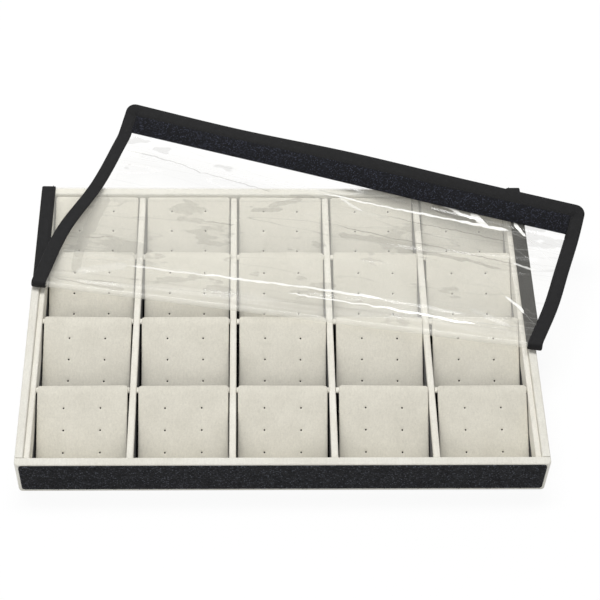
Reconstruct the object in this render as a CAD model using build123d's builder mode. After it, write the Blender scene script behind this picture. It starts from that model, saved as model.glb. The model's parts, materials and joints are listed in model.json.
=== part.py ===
from build123d import *
import os
from math import atan2, cos, degrees, hypot, radians, sin, tan

# A shallow display tray: boards wrapped in pale suede, an egg-crate of dividers, twenty slanted
# cards with post holes, and a clear sheet cover that is folded back over itself on a skew line.
# Millimetres. X runs to the right, Y to the back, Z up; the origin is the middle of the underside.

# Tray box
tray_width = 350.0
tray_depth = 240.0
tray_height = 32.0
side_wall = 5.5
end_wall = 6.2
corner_radius = 3.0
board_edge_radius = 1.2
underside_thickness = 0.8
underside_inset = 3.0
base_thickness = 3.0
lining_thickness = 0.8

# Dividers and liners, which stop a little below the walls
columns = 5
rows = 4
divider_drop = 3.5
liner_drop = 2.0
liner_thickness = 4.0
long_thickness = 4.5
cross_thickness = 4.2
divider_edge_radius = 1.0
notch_clearance = 0.15

# Cards, each leaning from the front of its cell over the top of the divider behind it
card_side_room = 1.2
card_thickness = 3.0
card_crest_drop = 0.6
card_edge_gap = 0.15
card_overlap = 4.0
card_seat_gap = 0.3
card_foot_gap = 0.5
card_wall_gap = 0.4
card_side_gap = 0.3
card_corner_radius = 1.5
card_edge_radius = 0.8
card_skew = 0.6
post_hole_radius = 0.6
post_columns = 2
post_rows = 3
post_spacing = 24.5
post_climb = 15.0

# How far each card has slipped sideways and turned, as shares of the play in its cell
slip_shares = [
    [0.4, 0.7, 0.6, 0.9, 0.8],
    [0.2, 0.9, 0.7, 1.0, 0.9],
    [0.0, 1.0, 1.0, 1.0, 1.0],
    [0.3, 1.0, -0.3, 1.0, 1.0],
]
skew_shares = [
    [-0.6, 0.5, -0.4, 0.4, -0.6],
    [0.6, -0.4, 0.5, -0.6, 0.4],
    [-0.9, 0.6, -0.9, -0.9, -0.7],
    [0.8, 0.8, -0.3, -1.0, 0.7],
]

# Fastening strip on the tray's front
loop_height = 27.0
loop_thickness = 1.2
loop_inset = 3.0
loop_drop = 0.6
loop_corner_radius = 2.0

# Cover sheet and its woven edge binding
sheet_left_inset = 0.5
sheet_right_overhang = 3.5
sheet_thickness = 0.5
binding_width = 10.0
binding_thickness = 1.8
binding_web = 1.0
binding_rest_gap = 0.3
hinge_film_gap = 0.35
hinge_binding_gap = 1.2

# Where the cover is folded back: a line askew across the tray, with a small round curl
fold_place = -1.0
fold_skew = 9.0
fold_angle = 179.5
curl_radius = 2.4
curl_setback = 0.2
curl_gap = 0.35

# Flap that hangs down the front when the cover is closed
flap_length = 28.0
flap_bend_angle = 25.0
flap_corner_radius = 7.0
hook_width = 12.4
hook_thickness = 1.4
strip_gap = 0.35

# Rear skirt of the sheet, fixed to the back of the tray under a tape
skirt_drop = 22.0
hem_width = 12.0
hem_thickness = 0.8
hem_overlap = 2.0

# Sizes that follow
base_top = underside_thickness + base_thickness
floor_top = base_top + lining_thickness
wall_height = tray_height - base_top
divider_top = tray_height - divider_drop
divider_height = divider_top - floor_top
liner_height = tray_height - liner_drop - floor_top
inner_half_width = tray_width / 2 - side_wall
inner_depth = tray_depth - 2 * end_wall
grid_half_width = inner_half_width - liner_thickness
cell_width = (2 * grid_half_width - (columns - 1) * long_thickness) / columns
cell_depth = (inner_depth - (rows - 1) * cross_thickness) / rows
column_pitch = cell_width + long_thickness
row_pitch = cell_depth + cross_thickness

# A card's width, slope and length come from its cell: its back rests on the divider's edge
card_width = cell_width - 2 * card_side_room
card_rise = divider_top + card_edge_gap - floor_top - card_seat_gap
card_run = cell_depth - card_foot_gap
card_set_in = card_thickness * card_rise / hypot(card_rise, card_run)
card_slope = degrees(atan2(card_rise, card_run - card_set_in))
card_reach = (card_run - card_set_in + card_overlap) / cos(radians(card_slope))
card_crest = tray_height - card_crest_drop
card_length = card_reach - card_width * sin(radians(card_skew))
card_play = card_side_room - card_length * sin(radians(card_skew)) / 2 - card_side_gap

# The sheet's middle surface, closed, lies just over the walls
sheet_height = tray_height + binding_rest_gap + binding_thickness / 2
sheet_left = tray_width / 2 - sheet_left_inset
sheet_right = tray_width / 2 + sheet_right_overhang
hinge_y = tray_depth / 2 + sheet_thickness / 2
crease_y = -(tray_depth / 2 + loop_thickness + strip_gap + hook_thickness + sheet_thickness / 2)
flap_end_y = crease_y - flap_length
film_left = -sheet_left + binding_web
film_right = sheet_right - binding_web
skew_slope = tan(radians(fold_skew))
setback_run = curl_setback / cos(radians(fold_skew))
curl_gap_run = curl_gap / cos(radians(fold_skew))

os.makedirs("parts", exist_ok=True)


def column_x(column):
    return (column - (columns - 1) / 2) * column_pitch


def row_y(row):
    return ((rows - 1) / 2 - row) * row_pitch


def fold_line_y(x):
    return -fold_place - x * skew_slope


def turned(plane, axis, angle):
    """The plane after a turn about an axis."""
    spin = Axis((0, 0, 0), axis.direction)
    arm = (plane.origin - axis.position).rotate(spin, angle)
    return Plane(
        origin=axis.position + arm,
        x_dir=plane.x_dir.rotate(spin, angle),
        z_dir=plane.z_dir.rotate(spin, angle),
    )


# Underside fabric: what the tray stands on
with BuildPart() as underside_fabric:
    with BuildSketch():
        RectangleRounded(
            tray_width - 2 * underside_inset, tray_depth - 2 * underside_inset, corner_radius
        )
    extrude(amount=underside_thickness)
underside_fabric.part.label = "underside_fabric"
export_step(underside_fabric.part, "parts/underside_fabric.step")

# Base board
with BuildPart() as base_board:
    with BuildSketch(Plane.XY.offset(underside_thickness)):
        RectangleRounded(tray_width, tray_depth, corner_radius)
    extrude(amount=base_thickness)
base_board.part.label = "base_board"
export_step(base_board.part, "parts/base_board.step")

# Floor lining, inside the walls and under the dividers
with BuildPart() as floor_lining:
    with BuildSketch(Plane.XY.offset(base_top)):
        Rectangle(2 * inner_half_width, inner_depth)
    extrude(amount=lining_thickness)
floor_lining.part.label = "floor_lining"
export_step(floor_lining.part, "parts/floor_lining.step")

# Front and rear walls run the full width, with rounded outer corners
for name, side in (("front_wall", -1), ("rear_wall", 1)):
    with BuildPart() as end_board:
        with BuildSketch(Plane.XY.offset(base_top)):
            with Locations((0, side * (tray_depth - end_wall) / 2)):
                Rectangle(tray_width, end_wall)
        extrude(amount=wall_height)
        outer_edges = end_board.edges().filter_by(Axis.Z).group_by(Axis.Y)[0 if side < 0 else -1]
        fillet(outer_edges, radius=corner_radius)
        fillet(end_board.faces().sort_by(Axis.Z)[-1].edges(), radius=board_edge_radius)
    end_board.part.label = name
    export_step(end_board.part, f"parts/{name}.step")

# Side walls stand between them
for name, side in (("left_wall", -1), ("right_wall", 1)):
    with BuildPart() as side_board:
        with BuildSketch(Plane.XY.offset(base_top)):
            with Locations((side * (inner_half_width + side_wall / 2), 0)):
                Rectangle(side_wall, inner_depth)
        extrude(amount=wall_height)
        top_face = side_board.faces().sort_by(Axis.Z)[-1]
        fillet(top_face.edges().filter_by(Axis.Y), radius=board_edge_radius)
    side_board.part.label = name
    export_step(side_board.part, f"parts/{name}.step")

# Liners line the side walls
for name, side in (("left_liner", -1), ("right_liner", 1)):
    with BuildPart() as liner:
        with BuildSketch(Plane.XY.offset(floor_top)):
            with Locations((side * (grid_half_width + liner_thickness / 2), 0)):
                Rectangle(liner_thickness, inner_depth)
        extrude(amount=liner_height)
        top_face = liner.faces().sort_by(Axis.Z)[-1]
        fillet(top_face.edges().filter_by(Axis.Y), radius=divider_edge_radius)
    liner.part.label = name
    export_step(liner.part, f"parts/{name}.step")

# Long dividers, notched from below, and cross dividers, notched from above, lock together
long_notch = cross_thickness + 2 * notch_clearance
cross_notch = long_thickness + 2 * notch_clearance
lap_height = divider_height / 2
for divider in range(columns - 1):
    with BuildPart() as long_divider:
        with BuildSketch(Plane.XY.offset(floor_top)):
            with Locations((column_x(divider) + column_pitch / 2, 0)):
                Rectangle(long_thickness, inner_depth)
        extrude(amount=divider_height)
        top_face = long_divider.faces().sort_by(Axis.Z)[-1]
        fillet(top_face.edges().filter_by(Axis.Y), radius=divider_edge_radius)
        with BuildSketch(Plane.XY.offset(floor_top)):
            with Locations((column_x(divider) + column_pitch / 2, 0)):
                with GridLocations(0, row_pitch, 1, rows - 1):
                    Rectangle(long_thickness, long_notch)
        extrude(amount=lap_height, mode=Mode.SUBTRACT)
    name = f"long_divider_{divider + 1}"
    long_divider.part.label = name
    export_step(long_divider.part, f"parts/{name}.step")

for divider in range(rows - 1):
    with BuildPart() as cross_divider:
        with BuildSketch(Plane.XY.offset(floor_top)):
            with Locations((0, row_y(divider) - row_pitch / 2)):
                Rectangle(2 * grid_half_width, cross_thickness)
        extrude(amount=divider_height)
        top_face = cross_divider.faces().sort_by(Axis.Z)[-1]
        fillet(top_face.edges().filter_by(Axis.X), radius=divider_edge_radius)
        with BuildSketch(Plane.XY.offset(divider_top)):
            with Locations((0, row_y(divider) - row_pitch / 2)):
                with GridLocations(column_pitch, 0, columns - 1, 1):
                    Rectangle(cross_notch, cross_thickness)
        extrude(amount=-lap_height, mode=Mode.SUBTRACT)
    name = f"cross_divider_{divider + 1}"
    cross_divider.part.label = name
    export_step(cross_divider.part, f"parts/{name}.step")

# Cards, counted from the rear row and the left column. Their upper ends are cut level over the
# divider behind, and at the rear wall upright.
slope = radians(card_slope)
rear_lean_y = inner_depth / 2 - card_wall_gap
for row in range(rows):
    for column in range(columns):
        cell_front = row_y(row) - cell_depth / 2
        foot_y = cell_front + card_foot_gap + card_set_in
        foot_z = floor_top + card_seat_gap
        centre = Vector(
            column_x(column) + slip_shares[row][column] * card_play,
            foot_y + card_reach / 2 * cos(slope),
            foot_z + card_reach / 2 * sin(slope),
        )
        leaning = Plane(origin=centre, x_dir=(1, 0, 0), z_dir=(0, -sin(slope), cos(slope)))
        turn = radians(skew_shares[row][column] * card_skew)
        across = leaning.x_dir * cos(turn) + leaning.y_dir * sin(turn)
        seat = Plane(origin=centre, x_dir=across, z_dir=leaning.z_dir)
        with BuildPart() as card:
            with BuildSketch(seat):
                RectangleRounded(card_width, card_length, card_corner_radius)
            extrude(amount=card_thickness)
            fillet(card.faces().sort_by(Axis(centre, seat.z_dir))[-1].edges(), radius=card_edge_radius)
            with BuildSketch(seat):
                with GridLocations(post_spacing, post_climb, post_columns, post_rows):
                    Circle(post_hole_radius)
            extrude(amount=card_thickness, mode=Mode.SUBTRACT)
            with BuildSketch(Plane.XY.offset(card_crest)):
                Rectangle(tray_width, tray_depth)
            extrude(amount=2 * card_thickness, mode=Mode.SUBTRACT)
            with BuildSketch(Plane.XZ.offset(-rear_lean_y)):
                Rectangle(tray_width, 2 * tray_height)
            extrude(amount=-end_wall, mode=Mode.SUBTRACT)
        name = f"card_r{row + 1}c{column + 1}"
        card.part.label = name
        export_step(card.part, f"parts/{name}.step")

# Loop strip along the tray's front
with BuildPart() as loop_strip:
    with BuildSketch(Plane.XZ.offset(tray_depth / 2)):
        with Locations((0, tray_height - loop_drop - loop_height / 2)):
            RectangleRounded(tray_width - 2 * loop_inset, loop_height, loop_corner_radius)
    extrude(amount=loop_thickness)
loop_strip.part.label = "front_loop_strip"
export_step(loop_strip.part, "parts/front_loop_strip.step")

# Rear skirt: the sheet goes over the rear edge and down the back, under a fixing tape
skirt_top = sheet_height - hinge_film_gap
with BuildPart() as rear_skirt:
    with BuildSketch(Plane.XZ.offset(-tray_depth / 2 - sheet_thickness)):
        with Locations(((film_left + film_right) / 2, skirt_top)):
            Rectangle(film_right - film_left, skirt_drop, align=(Align.CENTER, Align.MAX))
    extrude(amount=sheet_thickness)
rear_skirt.part.label = "rear_skirt_film"
export_step(rear_skirt.part, "parts/rear_skirt_film.step")

with BuildPart() as rear_hem:
    with BuildSketch(Plane.XZ.offset(-tray_depth / 2 - sheet_thickness - hem_thickness)):
        with Locations(((film_left + film_right) / 2, skirt_top - skirt_drop - hem_overlap)):
            Rectangle(film_right - film_left, hem_width, align=(Align.CENTER, Align.MIN))
    extrude(amount=hem_thickness)
rear_hem.part.label = "rear_hem_tape"
export_step(rear_hem.part, "parts/rear_hem_tape.step")

# Planes of the sheet's three panels. Each panel is drawn where it lies when the cover is closed
# and flat, and its plane carries it to where it is folded.
closed_sheet = Plane.XY.offset(sheet_height)
skew = radians(fold_skew)
fold_direction = Vector(cos(skew), -sin(skew), 0)
fold_axis = Axis((0, -fold_place, sheet_height + curl_radius), fold_direction)
crease_axis = Axis((0, crease_y, sheet_height), (1, 0, 0))
folded_sheet = turned(closed_sheet, fold_axis, -fold_angle)
flap_sheet = turned(turned(closed_sheet, crease_axis, flap_bend_angle), fold_axis, -fold_angle)


def panel_corners(left, right, rear_of, front_of):
    """A panel's corners, from its left to its right edge, between two lines across the sheet."""
    rear_corners = [(left, rear_of(left)), (right, rear_of(right))]
    front_corners = [(right, front_of(right)), (left, front_of(left))]
    return rear_corners + front_corners


def rear_film_start(x):
    return hinge_y - hinge_film_gap


def rear_binding_start(x):
    return hinge_y - hinge_binding_gap


def rear_end(x):
    return fold_line_y(x) + setback_run


def front_start(x):
    return fold_line_y(x) - setback_run - curl_gap_run


def front_film_end(x):
    return crease_y + hinge_film_gap


def front_binding_end(x):
    return crease_y + hinge_binding_gap


panels = (
    ("rear", closed_sheet, rear_film_start, rear_binding_start, rear_end, rear_end),
    ("front", folded_sheet, front_start, front_start, front_film_end, front_binding_end),
)
for panel, plane, film_rear, binding_rear, film_front, binding_front in panels:
    with BuildPart() as film:
        with BuildSketch(plane.offset(-sheet_thickness / 2)):
            with BuildLine():
                Polyline(panel_corners(film_left, film_right, film_rear, film_front), close=True)
            make_face()
        extrude(amount=sheet_thickness)
    name = f"cover_{panel}_film"
    film.part.label = name
    export_step(film.part, f"parts/{name}.step")

    # The binding is a tape folded round the sheet's edge, with the sheet in its slot
    for side, outer, web_end, inner in (
        ("left", -sheet_left, film_left, -sheet_left + binding_width),
        ("right", sheet_right, film_right, sheet_right - binding_width),
    ):
        with BuildPart() as binding:
            with BuildSketch(plane.offset(-binding_thickness / 2)):
                with BuildLine():
                    Polyline(panel_corners(outer, inner, binding_rear, binding_front), close=True)
                make_face()
            extrude(amount=binding_thickness)
            with BuildSketch(plane.offset(-sheet_thickness / 2)):
                with BuildLine():
                    Polyline(panel_corners(web_end, inner, film_rear, film_front), close=True)
                make_face()
            extrude(amount=sheet_thickness, mode=Mode.SUBTRACT)
        name = f"cover_{panel}_binding_{side}"
        binding.part.label = name
        export_step(binding.part, f"parts/{name}.step")

# The curl that joins the two panels along the fold
forward = Vector(-sin(skew), -cos(skew), 0)


def curl_plane(x):
    """A plane across the fold, on the curl's centre line, at the sheet's edge x."""
    origin = (x, rear_end(x), sheet_height + curl_radius)
    return Plane(origin=origin, x_dir=forward, z_dir=fold_direction)


def half_ring(thickness):
    """Section of the curl: half a ring that bulges to the front."""
    Circle(curl_radius + thickness / 2)
    Circle(curl_radius - thickness / 2, mode=Mode.SUBTRACT)
    reach = 2 * curl_radius + thickness
    Rectangle(reach, 2 * reach, align=(Align.MAX, Align.CENTER), mode=Mode.SUBTRACT)


with BuildPart() as curl_film:
    with BuildSketch(curl_plane(film_left)):
        half_ring(sheet_thickness)
    extrude(amount=(film_right - film_left) / cos(skew))
curl_film.part.label = "cover_curl_film"
export_step(curl_film.part, "parts/cover_curl_film.step")

for side, edge, slot_edge in (
    ("left", -sheet_left, film_left),
    ("right", sheet_right - binding_width, sheet_right - binding_width),
):
    with BuildPart() as curl_binding:
        with BuildSketch(curl_plane(edge)):
            half_ring(binding_thickness)
        extrude(amount=binding_width / cos(skew))
        with BuildSketch(curl_plane(slot_edge)):
            half_ring(sheet_thickness)
        extrude(amount=(binding_width - binding_web) / cos(skew), mode=Mode.SUBTRACT)
    name = f"cover_curl_binding_{side}"
    curl_binding.part.label = name
    export_step(curl_binding.part, f"parts/{name}.step")

# The flap: sheet, binding round its three free sides, and the hook strip on its inner face
sheet_middle = (sheet_right - sheet_left) / 2
sheet_width = sheet_left + sheet_right
film_width = film_right - film_left
film_corner_radius = flap_corner_radius - binding_web
flap_film_start = crease_y - hinge_film_gap
flap_film_length = flap_film_start - flap_end_y - binding_web
flap_binding_start = crease_y - hinge_binding_gap
flap_window_width = sheet_width - 2 * binding_width

with BuildPart() as flap_film:
    with BuildSketch(flap_sheet.offset(-sheet_thickness / 2)) as outline:
        with Locations((sheet_middle, flap_film_start)):
            Rectangle(film_width, flap_film_length, align=(Align.CENTER, Align.MAX))
        fillet(outline.vertices().group_by(Axis.Y)[0], radius=film_corner_radius)
    extrude(amount=sheet_thickness)
flap_film.part.label = "cover_flap_film"
export_step(flap_film.part, "parts/cover_flap_film.step")

with BuildPart() as flap_binding:
    with BuildSketch(flap_sheet.offset(-binding_thickness / 2)) as outline:
        with Locations((sheet_middle, flap_end_y)):
            Rectangle(
                sheet_width, flap_binding_start - flap_end_y, align=(Align.CENTER, Align.MIN)
            )
        fillet(outline.vertices().group_by(Axis.Y)[0], radius=flap_corner_radius)
        with Locations((sheet_middle, flap_end_y + binding_width)):
            Rectangle(
                flap_window_width,
                flap_length,
                align=(Align.CENTER, Align.MIN),
                mode=Mode.SUBTRACT,
            )
    extrude(amount=binding_thickness)
    with BuildSketch(flap_sheet.offset(-sheet_thickness / 2)) as slot:
        with Locations((sheet_middle, flap_film_start)):
            Rectangle(film_width, flap_film_length, align=(Align.CENTER, Align.MAX))
        fillet(slot.vertices().group_by(Axis.Y)[0], radius=film_corner_radius)
    extrude(amount=sheet_thickness, mode=Mode.SUBTRACT)
flap_binding.part.label = "cover_flap_binding"
export_step(flap_binding.part, "parts/cover_flap_binding.step")

with BuildPart() as hook_strip:
    with BuildSketch(flap_sheet.offset(-sheet_thickness / 2)):
        with Locations((sheet_middle, flap_end_y + binding_width)):
            Rectangle(flap_window_width, hook_width, align=(Align.CENTER, Align.MIN))
    extrude(amount=-hook_thickness)
hook_strip.part.label = "flap_hook_strip"
export_step(hook_strip.part, "parts/flap_hook_strip.step")
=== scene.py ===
# A display tray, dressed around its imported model: boards wrapped in pale suede, pierced pads
# leaning in a divider grid, and a clear cover with a woven binding, folded back over itself.
# Metres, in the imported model's frame: X to the right, Y to the back, Z up.
import math

import bmesh
import bpy
import numpy as np
from mathutils import Matrix, Vector, noise
from mathutils.geometry import delaunay_2d_cdt
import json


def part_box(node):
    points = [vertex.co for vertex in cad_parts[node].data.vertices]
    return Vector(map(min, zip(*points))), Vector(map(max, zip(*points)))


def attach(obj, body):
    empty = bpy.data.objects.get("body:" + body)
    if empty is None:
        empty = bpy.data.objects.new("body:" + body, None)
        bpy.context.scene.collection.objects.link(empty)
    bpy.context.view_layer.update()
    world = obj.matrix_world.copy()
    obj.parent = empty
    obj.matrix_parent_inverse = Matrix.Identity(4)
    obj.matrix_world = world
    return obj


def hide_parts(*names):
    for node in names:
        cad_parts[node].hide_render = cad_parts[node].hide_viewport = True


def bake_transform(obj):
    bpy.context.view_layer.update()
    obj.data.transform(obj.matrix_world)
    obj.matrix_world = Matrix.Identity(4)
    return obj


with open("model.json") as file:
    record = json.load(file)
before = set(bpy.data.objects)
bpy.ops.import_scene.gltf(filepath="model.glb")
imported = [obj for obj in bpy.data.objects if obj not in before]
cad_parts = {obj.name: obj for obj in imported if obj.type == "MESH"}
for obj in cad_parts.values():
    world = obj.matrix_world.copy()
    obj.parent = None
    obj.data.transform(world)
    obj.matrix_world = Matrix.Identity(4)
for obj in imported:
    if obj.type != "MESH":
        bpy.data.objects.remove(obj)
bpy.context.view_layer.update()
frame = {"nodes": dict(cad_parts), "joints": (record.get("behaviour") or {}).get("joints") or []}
MM = 0.001

# The camera that took the photograph, fitted to the tray's eight corners
camera_azimuth = math.radians(-3.294)
camera_elevation = math.radians(52.118)
camera_roll = math.radians(2.665)
camera_distance = 1179.4 * MM
camera_aim = Vector((14.52 * MM, 40.51 * MM, 0.0))
camera_lens = 97.49
camera_sensor = 36.0

# The cover's joints give the places of its rear edge, its fold and the crease of its flap
joints = {joint["name"]: joint for joint in frame["joints"]}
rear_edge_y = joints["cover_lift"]["pos_m"][1]
sheet_height = joints["cover_lift"]["pos_m"][2]
fold_pivot = np.array(joints["cover_fold"]["pos_m"])
fold_along = -np.array(joints["cover_fold"]["axis"])
fold_forward = np.array([fold_along[1], -fold_along[0], 0.0])
fold_turn = math.radians(-joints["cover_fold"]["range_deg"][0])
curl_radius = fold_pivot[2] - sheet_height
flap_set = math.radians(90 + joints["flap_bend"]["range_deg"][0])

# Sizes of the cover, as the part's source gives them. Only the hook tape is wider here, as it
# shows in the photograph
curl_setback = 0.2 * MM
curl_gap = 0.35 * MM
flap_length = 28.0 * MM
flap_corner_radius = 7.0 * MM
tape_width = 10.0 * MM
tape_thickness = 1.8 * MM
film_thickness = 0.35 * MM
film_inset = 3.0 * MM
hook_width = 14.2 * MM
hook_face = 1.65 * MM
skirt_drop = 22.0 * MM
sheet_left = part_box("cover_rear_binding_left")[0].x
sheet_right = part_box("cover_rear_binding_right")[1].x
# How gently the sheet goes over the tray's rear edge and the flap's crease
edge_bend_radius = 1.4 * MM
crease_reach = 2.5 * MM


def closed_crease_y():
    """The crease of the flap in the closed cover, found by turning its joint back about the fold."""
    arm = np.array(joints["flap_bend"]["pos_m"]) - fold_pivot
    forward = arm @ fold_forward
    turned_back = forward * math.cos(fold_turn) + arm[2] * math.sin(fold_turn)
    place = fold_pivot + (arm @ fold_along) * fold_along + turned_back * fold_forward
    return place[1]


crease_y = closed_crease_y()
flap_end_y = crease_y - flap_length
# Where the cover's pieces meet, so that each bends at one joint only
rear_strip_depth = 14 * MM
flap_strip_depth = 8 * MM
film_joint_rear_y = rear_edge_y - rear_strip_depth
flap_joint_y = crease_y + flap_strip_depth


def smooth(share):
    share = np.clip(share, 0, 1)
    return share * share * (3 - 2 * share)


def fold_line_y(x):
    """Y of the fold's axis across the closed sheet."""
    along = (x - fold_pivot[0]) / fold_along[0]
    return fold_pivot[1] + along * fold_along[1]


def curl_start_y(x):
    return fold_line_y(x) + curl_setback / fold_along[0]


def curl_end_y(x):
    return fold_line_y(x) - (curl_setback + curl_gap) / fold_along[0]


# The soft set of the folded-back half, in mm: how far it has slid along the fold and how far it
# hangs, in columns from the left edge to the right and in rows from the fold to the flap's end
set_columns = np.array((-1.0, -0.5, 0.0, 0.5, 1.0))
set_rows = np.array((0.0, 0.27, 0.54, 0.81, 1.02))
set_slide = np.array((
    (0.0, 0.0, 0.0, 0.0, 0.0),
    (-1.5, 0.5, 1.5, 2.5, 4.0),
    (6.0, 3.0, 2.5, 4.0, 5.0),
    (6.5, 4.0, 3.5, 4.5, 6.0),
    (6.0, 5.0, 5.0, 5.0, 5.5),
))
set_hang = np.array((
    (0.0, 0.0, 0.0, 0.0, 0.0),
    (1.0, 0.5, 0.0, 0.0, 0.0),
    (2.0, 1.5, 1.0, 0.5, 0.0),
    (4.6, 2.8, 2.1, 1.8, 0.0),
    (7.5, 7.5, 2.9, 2.4, 1.0),
))


def soft_curve(value, places, heights):
    """A smooth curve through the heights at the given places; each value may have its own heights."""
    heights = np.broadcast_to(heights.reshape(len(places), -1), (len(places), len(value)))
    slopes = np.gradient(heights, places, axis=0)
    value = np.clip(value, places[0], places[-1])
    row = np.clip(np.searchsorted(places, value, side="right") - 1, 0, len(places) - 2)
    each = np.arange(len(value))
    gap = places[row + 1] - places[row]
    share = (value - places[row]) / gap
    start, end = heights[row, each], heights[row + 1, each]
    start_slope, end_slope = slopes[row, each] * gap, slopes[row + 1, each] * gap
    rise = end - start
    bend = 3 * rise - 2 * start_slope - end_slope
    twist = start_slope + end_slope - 2 * rise
    return start + start_slope * share + bend * share ** 2 + twist * share ** 3


def soft_set(x, y):
    """How far points of the folded-back half have slid and how far they hang, from their flat places."""
    column = (x - (sheet_left + sheet_right) / 2) / ((sheet_right - sheet_left) / 2)
    row = (curl_end_y(x) - y) / (curl_end_y(x) - flap_end_y)
    found = []
    for table in (set_slide, set_hang):
        across = np.array([soft_curve(column, set_columns, heights) for heights in table])
        found.append(soft_curve(row, set_rows, across) * MM)
    return found


def lay_on_cover(flat):
    """Points of the closed, flat cover (across, back, above the sheet) where the folded cover has them."""
    flat = np.asarray(flat, float)
    x, y, above = flat[:, 0], flat[:, 1], flat[:, 2]
    # Down over the tray's rear edge
    rear_run = np.clip(y - rear_edge_y + edge_bend_radius, 0, None)
    rear_turn = np.clip(rear_run / edge_bend_radius, 0, math.pi / 2)
    rear_straight = np.clip(rear_run - edge_bend_radius * math.pi / 2, 0, None)
    back = np.minimum(y, rear_edge_y - edge_bend_radius)
    back = back + (edge_bend_radius + above) * np.sin(rear_turn)
    up = -edge_bend_radius * (1 - np.cos(rear_turn)) - rear_straight + above * np.cos(rear_turn)
    # Round the crease of the flap
    flap_run = np.clip(crease_y + crease_reach - y, 0, None)
    crease_turn = np.clip(flap_run / (2 * crease_reach), 0, 1) * flap_set
    crease_radius = 2 * crease_reach / flap_set
    flap_straight = np.clip(flap_run - 2 * crease_reach, 0, None)
    on_flap = flap_run > 0
    flap_back = crease_y + crease_reach - (crease_radius + above) * np.sin(crease_turn)
    back = np.where(on_flap, flap_back - flap_straight * np.cos(crease_turn), back)
    flap_up = -crease_radius * (1 - np.cos(crease_turn)) + above * np.cos(crease_turn)
    up = np.where(on_flap, flap_up - flap_straight * np.sin(crease_turn), up)
    # Over the fold
    arm = np.stack([x - fold_pivot[0], back - fold_pivot[1], np.zeros_like(x)], axis=1)
    along = arm @ fold_along
    forward = arm @ fold_forward
    height = up - curl_radius
    share = np.clip((forward + curl_setback) / (2 * curl_setback + curl_gap), 0, 1)
    turn = share * fold_turn
    ring_forward = -curl_setback + (curl_radius - up) * np.sin(turn)
    ring_height = -(curl_radius - up) * np.cos(turn)
    over_forward = forward * math.cos(fold_turn) - height * math.sin(fold_turn)
    over_height = forward * math.sin(fold_turn) + height * math.cos(fold_turn)
    forward = np.where(share <= 0, forward, np.where(share < 1, ring_forward, over_forward))
    height = np.where(share <= 0, height, np.where(share < 1, ring_height, over_height))
    placed = fold_pivot + np.outer(along, fold_along) + np.outer(forward, fold_forward)
    placed[:, 2] += height
    slide, hang = soft_set(x, y)
    return placed + np.outer(slide, fold_along) - np.outer(hang, (0, 0, 1))


def paint(red, green, blue):
    """A colour as it is seen, 0 to 255, as Blender's linear colour."""
    seen = (red / 255, green / 255, blue / 255)
    return tuple(c / 12.92 if c < 0.04045 else ((c + 0.055) / 1.055) ** 2.4 for c in seen) + (1.0,)


white = (1.0, 1.0, 1.0, 1.0)
black = (0.0, 0.0, 0.0, 1.0)


def add(tree, kind, inputs=None, **settings):
    """A node with its settings, and its inputs set or linked."""
    node = tree.nodes.new(kind)
    for key, value in settings.items():
        setattr(node, key, value)
    for key, value in (inputs or {}).items():
        if isinstance(value, bpy.types.NodeSocket):
            tree.links.new(value, node.inputs[key])
        else:
            node.inputs[key].default_value = value
    return node


def maths(tree, operation, *values):
    return add(tree, "ShaderNodeMath", dict(enumerate(values)), operation=operation).outputs[0]


def times(tree, first, second):
    return maths(tree, "MULTIPLY", first, second)


def plus(tree, first, second):
    return maths(tree, "ADD", first, second)


def strongest(tree, first, second):
    return maths(tree, "MAXIMUM", first, second)


def vector_maths(tree, operation, first, second, output="Vector"):
    return add(tree, "ShaderNodeVectorMath", {0: first, 1: second}, operation=operation).outputs[output]


def scaled(tree, vector, factor):
    return add(tree, "ShaderNodeVectorMath", {0: vector, "Scale": factor}, operation="SCALE").outputs[0]


def stretched(tree, vector, scale):
    return add(tree, "ShaderNodeMapping", {"Vector": vector, "Scale": scale}).outputs[0]


def spread(tree, value, low, high):
    """A value stretched so that low to high fills 0 to 1."""
    inputs = {"Value": value, "From Min": low, "From Max": high}
    return add(tree, "ShaderNodeMapRange", inputs).outputs["Result"]


def hump(tree, phase):
    """A rounded hump over each whole step of the phase."""
    return maths(tree, "SINE", times(tree, maths(tree, "FRACT", phase), math.pi))


def blend_colour(tree, share, first, second):
    return add(tree, "ShaderNodeMix", {0: share, 6: first, 7: second}, data_type="RGBA").outputs[2]


def noise_value(tree, vector, size, detail=3.0, roughness=0.5):
    inputs = {"Vector": vector, "Scale": size, "Detail": detail, "Roughness": roughness}
    return add(tree, "ShaderNodeTexNoise", inputs).outputs["Fac"]


FLOAT, COLOUR, VECTOR = "NodeSocketFloat", "NodeSocketColor", "NodeSocketVector"


def new_group(name, inputs, outputs, kind="ShaderNodeTree"):
    """A group, its inputs and its output node. A number or a tuple stands for an input's default."""
    group = bpy.data.node_groups.new(name, kind)
    for socket, value in inputs.items():
        socket_type = {float: FLOAT, tuple: VECTOR}.get(type(value), value)
        made = group.interface.new_socket(socket, in_out="INPUT", socket_type=socket_type)
        if value != socket_type:
            made.default_value = value
    for socket, socket_type in outputs.items():
        group.interface.new_socket(socket, in_out="OUTPUT", socket_type=socket_type)
    return group, group.nodes.new("NodeGroupInput").outputs, group.nodes.new("NodeGroupOutput")


def finished(group, out, **values):
    """The group, with its outputs linked."""
    for key, value in values.items():
        group.links.new(value, out.inputs[key])
    return group


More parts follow.
